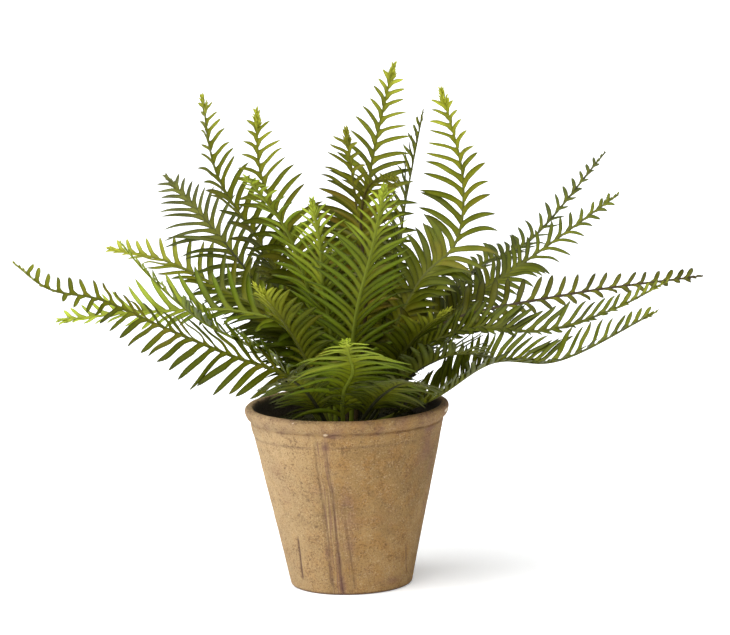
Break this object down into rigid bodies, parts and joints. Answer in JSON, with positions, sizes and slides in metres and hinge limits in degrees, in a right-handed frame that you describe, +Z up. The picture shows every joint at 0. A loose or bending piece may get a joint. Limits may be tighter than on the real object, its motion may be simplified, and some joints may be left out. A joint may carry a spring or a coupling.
{
  "type": "potted fern",
  "caption": "Potted fern: arching green fronds with narrow leaflets, fresh to bronze, in a tapered aged clay pot with a rolled lip",
  "frame": {"origin": "centre of the pot's flat underside, on the surface it stands on", "axes": "+Z up, the side seen in the picture faces -Y, +X to the viewer's right"},
  "size_m": [0.486, 0.3116, 0.37],
  "materials": {
    "aged_clay": "rough",
    "potting_soil": "rough",
    "fresh_leaf": "satin",
    "mature_leaf": "satin",
    "deep_leaf": "satin",
    "bronze_leaf": "satin"
  },
  "bodies": {
    "root": {"pot": "aged_clay", "soil": "potting_soil", "frond_left_long": "mature_leaf", "frond_left_pale_tip": "fresh_leaf", "frond_left_middle": "mature_leaf", "frond_left_edge_on": "fresh_leaf", "frond_left_upper": "deep_leaf", "frond_left_tall": "mature_leaf", "frond_left_tall_inner": "mature_leaf", "frond_left_forward": "fresh_leaf", "frond_front_left": "fresh_leaf", "frond_front_right": "fresh_leaf", "frond_tallest": "mature_leaf", "frond_centre_back": "bronze_leaf", "frond_right_edge_on": "mature_leaf", "frond_head_on": "bronze_leaf", "frond_right_tall": "mature_leaf", "frond_right_upper_back": "deep_leaf", "frond_right_upper": "mature_leaf", "frond_right_long": "bronze_leaf", "frond_right_middle": "mature_leaf", "frond_right_low": "mature_leaf", "frond_front_fresh": "fresh_leaf", "frond_front_low_left": "deep_leaf", "frond_front_low_right": "deep_leaf", "frond_inner_left": "mature_leaf", "frond_inner_right": "mature_leaf", "frond_inner_low_right": "deep_leaf", "frond_inner_back_right": "deep_leaf", "frond_inner_back": "deep_leaf", "frond_back_left": "deep_leaf", "frond_back_middle": "mature_leaf", "frond_back_right": "deep_leaf", "frond_back_low_left": "fresh_leaf", "frond_back_low_right": "mature_leaf"}
  },
  "joints": []
}
